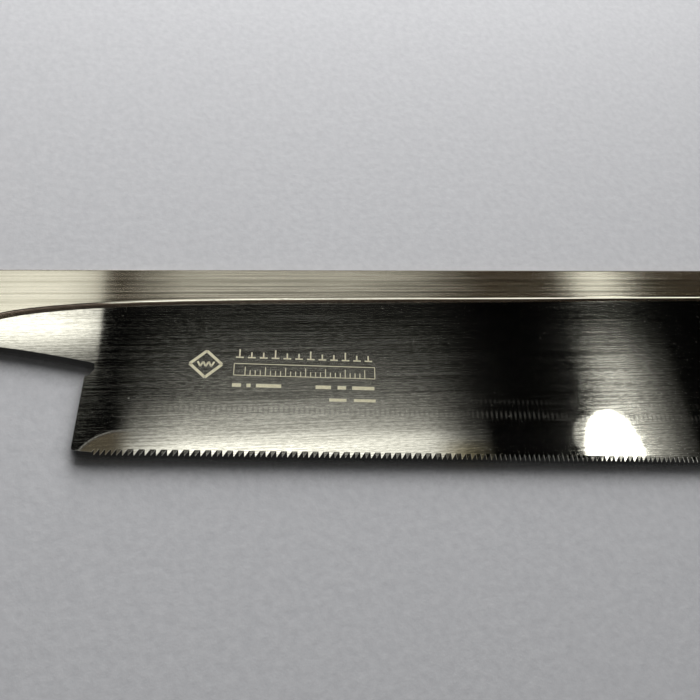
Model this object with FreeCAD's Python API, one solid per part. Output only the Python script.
import FreeCAD, Part
import math
import os

# A pull-stroke back saw: a thin toothed plate in a folded steel back, whose tang hooks onto a pin in the
# handle. Millimetres. +X runs from the butt of the handle to the toe of the blade, +Z is up (the back is on
# top, the teeth point down) and Y = 0 is the mid-plane of the blade. The origin is the centre of the butt.

Vector = FreeCAD.Vector

# Blade
BLADE_LENGTH = 240.0            # heel to toe
NECK_LENGTH = 48.0              # head of the handle to the heel
PLATE_THICKNESS = 0.3
HEEL_SLOPE_DEG = 3.2            # tooth line, falling from heel to toe, against the top of the back
HEEL_TOP_DEPTH = 34.4           # below the top of the back
HEEL_FOOT_DEPTH = 55.7
PLAIN_HEEL = 5.5                # length without teeth at the heel
PLAIN_HEEL_DEPTH = 56.5         # at its toe end
NOTCH_WIDTH = 2.6
NOTCH_TOP_DEPTH = 30.05         # where the neck's lower edge runs into the notch
NOTCH_SIDE = ((0.0, 0.0), (1.1, 0.4), (1.3, 2.2))       # towards the toe and down, from the foot of the neck
NOTCH_LIP = 0.4                 # its last corner, above the top of the heel
NECK_EDGE = ((-36.0, 23.2), (-22.4, 24.9), (-9.1, 27.4))    # lower edge: from the heel, and depth
NECK_INSIDE = 2.0               # the straight tang ends this far inside the head
CORNER_REACH = 0.8              # of the rounded corner at the foot of the heel

# Teeth: rip teeth that cut on the pull, with a nearly square rake face on the side of the handle
TOOTH_PITCH = 1.5
TOOTH_HEIGHT = 1.75
TOOTH_SET = 0.1                 # each tip leans this far to its side
RAKE_LEAN = 0.2                 # tip, forward of the foot of its rake face
GULLET_FLAT = 0.08
FIRST_GULLET = 0.4
FIRST_TIP_DEPTH = 57.35

# Folded back
BACK_HEIGHT = 10.9
BACK_WALL = 1.6                 # thickness of the strip that is folded
BACK_TOP = 11.0                 # height of the back above the axis of the handle
BACK_EDGE_ROUND = 0.6
FLARE_START = 62.0              # from the heel; the back is slender from here to the toe
FLARE_EDGE = ((34.0, 11.05), (10.0, 11.7), (-11.0, 13.2), (-23.3, 15.2), (-34.0, 18.6))
TANG_HEIGHT = 22.0
TANG_CORNER = 2.0
RIVET_RADIUS = 1.5
RIVET_STEPS = (10.0, 24.0)      # in front of the hook pin
RIVET_HEIGHT = -3.0

# Handle
HANDLE_LENGTH = 320.0
HEAD_HALF_HEIGHT = 14.8
HEAD_HALF_WIDTH = 11.0
BUTT_HALF_HEIGHT = 17.0
BUTT_HALF_WIDTH = 13.4
TAPER_POWER = 1.5               # above 1 the handle thickens mostly near the butt
OVAL_SPACING = 60.0             # between the cross-sections of the handle
BUTT_ROUND = 2.0
HEAD_ROUND = 1.6
WRAP_START = 13.0
WRAP_END = 243.0
WRAP_THICKNESS = 1.2
WRAP_STANDS_PROUD = 0.3
FERRULE_START = 246.0
FERRULE_END = 260.0
FERRULE_THICKNESS = 0.9
FERRULE_STANDS_PROUD = 0.25
FERRULE_ROUND = 0.2
GAP = 0.02                      # between the wrap and the wood under it

# Blade holder, a folded channel that is open below and in front
HOLDER_WALL = 1.2
HOLDER_BEND = 0.96              # outside radius of its two folds
HOLDER_FRONT = HANDLE_LENGTH + 2.0
HOLDER_REAR = 248.0
HOLDER_SLOT_REAR = 266.0
HOLDER_FOOT = -12.6
HOLDER_TAIL_FOOT = -9.0
RUNNING_CLEARANCE = 0.05

# Pins and tacks
HOOK_PIN_RADIUS = 2.0
HOOK_PIN_HALF_LENGTH = 7.0
HOOK_PIN_X = HANDLE_LENGTH - 31.0
HOOK_PIN_Z = 4.0
HOOK_PIN_CHAMFER = 0.3
CROSS_PIN_RADIUS = 1.5
CROSS_PIN_HEIGHTS = (6.0, -4.0)
CROSS_PIN_DOME = 0.5
CROSS_PIN_ROUND = 0.45
TACK_SHANK_RADIUS = 0.6
TACK_SHANK_LENGTH = 8.0
TACK_HEAD_RADIUS = 1.6
TACK_HEAD_HEIGHT = 0.7
TACK_HEAD_ROUND = 0.49
TACK_INSET = 3.0                # from each end of the wrap
TACK_GAP = 0.05                 # under the head, where the wrap curves

HEEL_X = HANDLE_LENGTH + NECK_LENGTH
TOE_X = HEEL_X + BLADE_LENGTH
TANG_BOTTOM = BACK_TOP - TANG_HEIGHT
HOOK_RADIUS = BACK_TOP - HOOK_PIN_Z
TANG_REAR = HOOK_PIN_X - HOOK_RADIUS
BACK_HALF_WIDTH = PLATE_THICKNESS / 2 + BACK_WALL
PLATE_TOP = BACK_TOP - BACK_WALL
SLOT_HALF_WIDTH = BACK_HALF_WIDTH + RUNNING_CLEARANCE
HOLDER_HALF_WIDTH = SLOT_HALF_WIDTH + HOLDER_WALL
HOLDER_ROOF = BACK_TOP + RUNNING_CLEARANCE
CROSS_PIN_X = (FERRULE_START + FERRULE_END) / 2
FAR = 60.0                      # long enough to cut through anything on one side
OVERCUT = 1.0                   # a cut runs this far past the face it opens
TOLERANCE = 0.01                # an edge shorter than this along an axis lies square to it
QUARTER_BULGE = math.sqrt(2) - 1    # a quarter round's middle, from its chord towards the corner


def blade_point(along, depth, y=0.0):
    """A point on the blade, given from the heel and from the top of the back."""
    return Vector(HEEL_X + along, y, BACK_TOP - depth)


def outline_face(edges):
    return Part.Face(Part.Wire(Part.sortEdges(edges)[0]))


def straight_edges(points):
    return [Part.LineSegment(a, b).toShape() for a, b in zip(points, points[1:])]


def smooth_edge(points):
    curve = Part.BSplineCurve()
    curve.interpolate(points)
    return curve.toShape()


def level_edge(points):
    """A smooth curve that runs level at both ends, drawn from the toe's side to the handle's."""
    level = Vector(-1, 0, 0)
    curve = Part.BSplineCurve()
    curve.interpolate(Points=points, InitialTangent=level, FinalTangent=level)
    return curve.toShape()


def box_between(low, high):
    size = Vector(high) - Vector(low)
    return Part.makeBox(size.x, size.y, size.z, Vector(low))


def slab(face, half_width):
    """An XZ outline thickened to both sides of the mid-plane."""
    solid = face.extrude(Vector(0, 2 * half_width, 0))
    solid.translate(Vector(0, -half_width, 0))
    return solid


def cross_rod(radius, half_length, x, z):
    return Part.makeCylinder(radius, 2 * half_length, Vector(x, -half_length, z), Vector(0, 1, 0))


def hook_slot(half_width):
    """The slot in the top of the tang that drops over the hook pin."""
    radius = HOOK_PIN_RADIUS + RUNNING_CLEARANCE
    seat = cross_rod(radius, half_width, HOOK_PIN_X, HOOK_PIN_Z)
    mouth = box_between(
        (HOOK_PIN_X - radius, -half_width, HOOK_PIN_Z),
        (HOOK_PIN_X + radius, half_width, BACK_TOP + OVERCUT),
    )
    return seat.fuse(mouth)


def tang_rivet_rods(half_length):
    return [cross_rod(RIVET_RADIUS, half_length, HOOK_PIN_X + step, RIVET_HEIGHT) for step in RIVET_STEPS]


def tang_end_edges(top):
    """The rear end of the tang, from its top edge round the hook and down to its bottom edge."""
    pin = Vector(HOOK_PIN_X, 0, HOOK_PIN_Z)
    rise = top - HOOK_PIN_Z
    first = math.acos(rise / HOOK_RADIUS)
    half = (math.pi / 2 + first) / 2

    def on_hook(angle):
        return pin + Vector(-math.sin(angle), 0, math.cos(angle)) * HOOK_RADIUS

    rear = Vector(TANG_REAR, 0, HOOK_PIN_Z)
    low = Vector(TANG_REAR, 0, TANG_BOTTOM + TANG_CORNER)
    lean = TANG_CORNER * (1 - math.sqrt(0.5))
    corner = Vector(TANG_REAR + lean, 0, TANG_BOTTOM + lean)
    foot = Vector(TANG_REAR + TANG_CORNER, 0, TANG_BOTTOM)
    edges = [
        Part.Arc(on_hook(first), on_hook(half), rear).toShape(),
        Part.LineSegment(rear, low).toShape(),
        Part.Arc(low, corner, foot).toShape(),
    ]
    return edges, on_hook(first), foot


def make_saw_plate():
    slope = math.radians(HEEL_SLOPE_DEG)
    along = Vector(math.cos(slope), 0, -math.sin(slope))
    down = Vector(-math.sin(slope), 0, -math.cos(slope))
    first_tip = blade_point(PLAIN_HEEL + FIRST_GULLET + RAKE_LEAN, FIRST_TIP_DEPTH)
    root_start = first_tip - along * RAKE_LEAN - down * TOOTH_HEIGHT
    root_length = (TOE_X - root_start.x) / along.x
    root_end = root_start + along * root_length

    heel_top = blade_point(NOTCH_WIDTH / 2, HEEL_TOP_DEPTH)
    heel_foot = blade_point(0, HEEL_FOOT_DEPTH)
    plain_end = blade_point(PLAIN_HEEL, PLAIN_HEEL_DEPTH)
    notch = [blade_point(NOTCH_WIDTH + inward, NOTCH_TOP_DEPTH + drop) for inward, drop in NOTCH_SIDE]
    notch += [blade_point(NOTCH_WIDTH, HEEL_TOP_DEPTH - NOTCH_LIP), heel_top]
    neck_foot = Vector(HANDLE_LENGTH - NECK_INSIDE, 0, TANG_BOTTOM)
    neck = smooth_edge([neck_foot] + [blade_point(*place) for place in NECK_EDGE] + [notch[0]])
    corner_from = heel_foot + (heel_top - heel_foot).normalize() * CORNER_REACH
    corner_to = heel_foot + (plain_end - heel_foot).normalize() * CORNER_REACH
    chord_mid = (corner_from + corner_to) * 0.5
    corner_mid = chord_mid + (heel_foot - chord_mid) * QUARTER_BULGE

    tang_end, top_rear, tang_foot = tang_end_edges(PLATE_TOP)
    edges = tang_end + [neck, Part.Arc(corner_from, corner_mid, corner_to).toShape()]
    edges += straight_edges([tang_foot, neck_foot])
    edges += straight_edges(notch + [corner_from])
    edges += straight_edges([
        corner_to,
        plain_end,
        root_start,
        root_end,
        Vector(TOE_X, 0, PLATE_TOP),
        top_rear,
    ])
    half = PLATE_THICKNESS / 2
    body = slab(outline_face(edges), half)

    solids = []
    for number in range(int(root_length / TOOTH_PITCH)):
        root = root_start + along * (number * TOOTH_PITCH)
        lean = TOOTH_SET if number % 2 else -TOOTH_SET
        solids.append(make_tooth(root, along, down, half, lean))
    body = body.multiFuse(solids).removeSplitter()
    body = body.cut(hook_slot(half + OVERCUT))
    return body.cut(tang_rivet_rods(half + OVERCUT))


def make_tooth(root, along, down, half, lean):
    """One tooth: a nearly square rake face at its root point, a sloping back, and its tip leaning sideways."""
    side = Vector(0, half, 0)
    heel = root + along * (TOOTH_PITCH - GULLET_FLAT)
    tip = root + along * RAKE_LEAN + down * TOOTH_HEIGHT + Vector(0, lean, 0)
    near = [root - side, heel - side, tip - side]
    far = [root + side, heel + side, tip + side]
    faces = [Part.Face(Part.makePolygon(ring + ring[:1])) for ring in (near, far)]
    for first, second in ((0, 1), (1, 2), (2, 0)):
        ring = [near[first], near[second], far[second], far[first]]
        faces.append(Part.Face(Part.makePolygon(ring + ring[:1])))
    return Part.Solid(Part.makeShell(faces))


def make_back():
    """The folded strip: slender along the blade, flaring down over the neck into the tang."""
    tang_end, top_rear, tang_foot = tang_end_edges(BACK_TOP)
    flare_start = blade_point(FLARE_START, BACK_HEIGHT)
    flare_end = Vector(HANDLE_LENGTH - NECK_INSIDE, 0, TANG_BOTTOM)
    flare = level_edge([flare_start] + [blade_point(*place) for place in FLARE_EDGE] + [flare_end])
    edges = tang_end + [flare]
    edges += straight_edges([tang_foot, flare_end])
    edges += straight_edges([
        flare_start,
        Vector(TOE_X, 0, flare_start.z),
        Vector(TOE_X, 0, BACK_TOP),
        top_rear,
    ])
    back = slab(outline_face(edges), BACK_HALF_WIDTH)
    back = round_outer_edges(back)
    half = PLATE_THICKNESS / 2
    fold = box_between(
        (TANG_REAR - OVERCUT, -half, TANG_BOTTOM - OVERCUT),
        (TOE_X + OVERCUT, half, PLATE_TOP),
    )
    back = back.cut(fold)
    back = back.cut(hook_slot(BACK_HALF_WIDTH + OVERCUT))
    return back.cut(tang_rivet_rods(BACK_HALF_WIDTH + OVERCUT))


def round_outer_edges(back):
    outer = [edge for edge in back.Edges if edge.BoundBox.YLength < TOLERANCE]
    return back.makeFillet(BACK_EDGE_ROUND, outer)


def make_tang_rivets():
    return Part.makeCompound(tang_rivet_rods(BACK_HALF_WIDTH))


def handle_half_height(x):
    taper = 1 - x / HANDLE_LENGTH
    return HEAD_HALF_HEIGHT + (BUTT_HALF_HEIGHT - HEAD_HALF_HEIGHT) * taper ** TAPER_POWER


def handle_half_width(x):
    taper = 1 - x / HANDLE_LENGTH
    return HEAD_HALF_WIDTH + (BUTT_HALF_WIDTH - HEAD_HALF_WIDTH) * taper ** TAPER_POWER


def handle_stretch(start, end, inset):
    """A length of the oval, tapering handle, with its skin moved in by the inset."""
    steps = max(2, round((end - start) / OVAL_SPACING) + 1)
    ovals = []
    for step in range(steps):
        x = start + (end - start) * step / (steps - 1)
        high = Vector(x, 0, handle_half_height(x) - inset)
        wide = Vector(x, handle_half_width(x) - inset, 0)
        ovals.append(Part.Wire(Part.Ellipse(high, wide, Vector(x, 0, 0)).toShape()))
    return Part.makeLoft(ovals, True, False)


def round_end(solid, x, radius):
    rims = [edge for edge in solid.Edges if abs(edge.BoundBox.XMin - x) + edge.BoundBox.XLength < TOLERANCE]
    return solid.makeFillet(radius, rims)


def make_handle_wood():
    """The two wooden halves together, with the seats for the wrap, the ferrule, the holder and the pins."""
    wrap_seat = WRAP_THICKNESS - WRAP_STANDS_PROUD + GAP
    ferrule_seat = FERRULE_THICKNESS - FERRULE_STANDS_PROUD
    butt = round_end(handle_stretch(0.0, WRAP_START, 0.0), 0.0, BUTT_ROUND)
    grip = handle_stretch(WRAP_START, WRAP_END, wrap_seat)
    collar = handle_stretch(WRAP_END, FERRULE_START, 0.0)
    ring_seat = handle_stretch(FERRULE_START, FERRULE_END, ferrule_seat)
    head = round_end(handle_stretch(FERRULE_END, HANDLE_LENGTH, 0.0), HANDLE_LENGTH, HEAD_ROUND)
    wood = butt.multiFuse([grip, collar, ring_seat, head])

    width = HOLDER_HALF_WIDTH
    roof = HOLDER_ROOF + HOLDER_WALL
    open_slot = box_between((HOLDER_SLOT_REAR, -width, -FAR), (HANDLE_LENGTH + OVERCUT, width, roof))
    tail_slot = box_between((HOLDER_REAR, -width, HOLDER_TAIL_FOOT), (HOLDER_SLOT_REAR, width, roof))
    bore = HOOK_PIN_RADIUS + RUNNING_CLEARANCE
    pin_hole = cross_rod(bore, HOOK_PIN_HALF_LENGTH + RUNNING_CLEARANCE, HOOK_PIN_X, HOOK_PIN_Z)
    wood = wood.cut(open_slot.fuse(tail_slot))
    wood = wood.cut([pin_hole] + cross_pin_rods())
    return wood.cut(tack_shanks())


def make_handle_half(side):
    wood = make_handle_wood()
    if side < 0:
        keep = box_between((-OVERCUT, -FAR, -FAR), (HANDLE_LENGTH + OVERCUT, 0.0, FAR))
    else:
        keep = box_between((-OVERCUT, 0.0, -FAR), (HANDLE_LENGTH + OVERCUT, FAR, FAR))
    return wood.common(keep)


def make_ferrule():
    outside = handle_stretch(FERRULE_START, FERRULE_END, -FERRULE_STANDS_PROUD)
    outside = round_end(outside, FERRULE_START, FERRULE_ROUND)
    outside = round_end(outside, FERRULE_END, FERRULE_ROUND)
    inside = handle_stretch(FERRULE_START, FERRULE_END, FERRULE_THICKNESS - FERRULE_STANDS_PROUD)
    return outside.cut(inside).cut(cross_pin_rods())


def make_rattan_wrap():
    """The sleeve that the wound cane fills."""
    outside = handle_stretch(WRAP_START + GAP, WRAP_END - GAP, -WRAP_STANDS_PROUD)
    inside = handle_stretch(WRAP_START, WRAP_END, WRAP_THICKNESS - WRAP_STANDS_PROUD)
    return outside.cut(inside).cut(tack_shanks())


def make_blade_holder():
    width = HOLDER_HALF_WIDTH
    roof = HOLDER_ROOF + HOLDER_WALL
    channel = box_between((HOLDER_SLOT_REAR, -width, HOLDER_FOOT), (HOLDER_FRONT, width, roof))
    tail = box_between((HOLDER_REAR, -width, HOLDER_TAIL_FOOT), (HOLDER_SLOT_REAR, width, roof))
    holder = channel.fuse(tail).removeSplitter()
    bends = []
    for edge in holder.Edges:
        box = edge.BoundBox
        if box.XLength > TOLERANCE and box.ZLength + abs(box.ZMax - roof) < TOLERANCE:
            bends.append(edge)
    holder = holder.makeFillet(HOLDER_BEND, bends)
    slot = box_between(
        (HOLDER_REAR - OVERCUT, -SLOT_HALF_WIDTH, -FAR),
        (HOLDER_FRONT + OVERCUT, SLOT_HALF_WIDTH, HOLDER_ROOF),
    )
    bore = cross_rod(HOOK_PIN_RADIUS + RUNNING_CLEARANCE, width + OVERCUT, HOOK_PIN_X, HOOK_PIN_Z)
    return holder.cut(slot).cut([bore] + cross_pin_rods())


def make_hook_pin():
    pin = cross_rod(HOOK_PIN_RADIUS, HOOK_PIN_HALF_LENGTH, HOOK_PIN_X, HOOK_PIN_Z)
    ends = [edge for edge in pin.Edges if edge.BoundBox.YLength < TOLERANCE]
    return pin.makeChamfer(HOOK_PIN_CHAMFER, ends)


def cross_pin_half_length(z):
    """To just outside the skin of the ferrule at this height."""
    high = handle_half_height(CROSS_PIN_X) + FERRULE_STANDS_PROUD
    wide = handle_half_width(CROSS_PIN_X) + FERRULE_STANDS_PROUD
    return wide * math.sqrt(1 - (z / high) ** 2) + CROSS_PIN_DOME


def cross_pin_rods():
    return [cross_rod(CROSS_PIN_RADIUS, cross_pin_half_length(z), CROSS_PIN_X, z) for z in CROSS_PIN_HEIGHTS]


def make_cross_pins():
    pins = []
    for rod in cross_pin_rods():
        ends = [edge for edge in rod.Edges if edge.BoundBox.YLength < TOLERANCE]
        pins.append(rod.makeFillet(CROSS_PIN_ROUND, ends))
    return Part.makeCompound(pins)


def tack_places():
    return [WRAP_START + TACK_INSET, WRAP_END - TACK_INSET]


def tack_skin(x):
    return -(handle_half_width(x) + WRAP_STANDS_PROUD)


def tack_shanks():
    """The tacks are driven along +Y into the half on the -Y side."""
    shanks = []
    for x in tack_places():
        start = Vector(x, tack_skin(x) - TACK_HEAD_HEIGHT / 2, 0)
        shanks.append(Part.makeCylinder(TACK_SHANK_RADIUS, TACK_SHANK_LENGTH, start, Vector(0, 1, 0)))
    return shanks


def make_wrap_tacks():
    tacks = []
    for x, shank in zip(tack_places(), tack_shanks()):
        foot = Vector(x, tack_skin(x) - TACK_GAP, 0)
        head = Part.makeCylinder(TACK_HEAD_RADIUS, TACK_HEAD_HEIGHT, foot, Vector(0, -1, 0))
        top = foot.y - TACK_HEAD_HEIGHT
        rim = [edge for edge in head.Edges if edge.BoundBox.YMax - top < TOLERANCE]
        tacks.append(head.makeFillet(TACK_HEAD_ROUND, rim).fuse(shank).removeSplitter())
    return Part.makeCompound(tacks)


PARTS = {
    "saw_plate": make_saw_plate,
    "back": make_back,
    "tang_rivets": make_tang_rivets,
    "hook_pin": make_hook_pin,
    "blade_holder": make_blade_holder,
    "cross_pins": make_cross_pins,
    "ferrule": make_ferrule,
    "handle_half_left": lambda: make_handle_half(1),
    "handle_half_right": lambda: make_handle_half(-1),
    "rattan_wrap": make_rattan_wrap,
    "wrap_tacks": make_wrap_tacks,
}

os.makedirs("parts", exist_ok=True)
for name, make in PARTS.items():
    make().exportStep("parts/" + name + ".step")
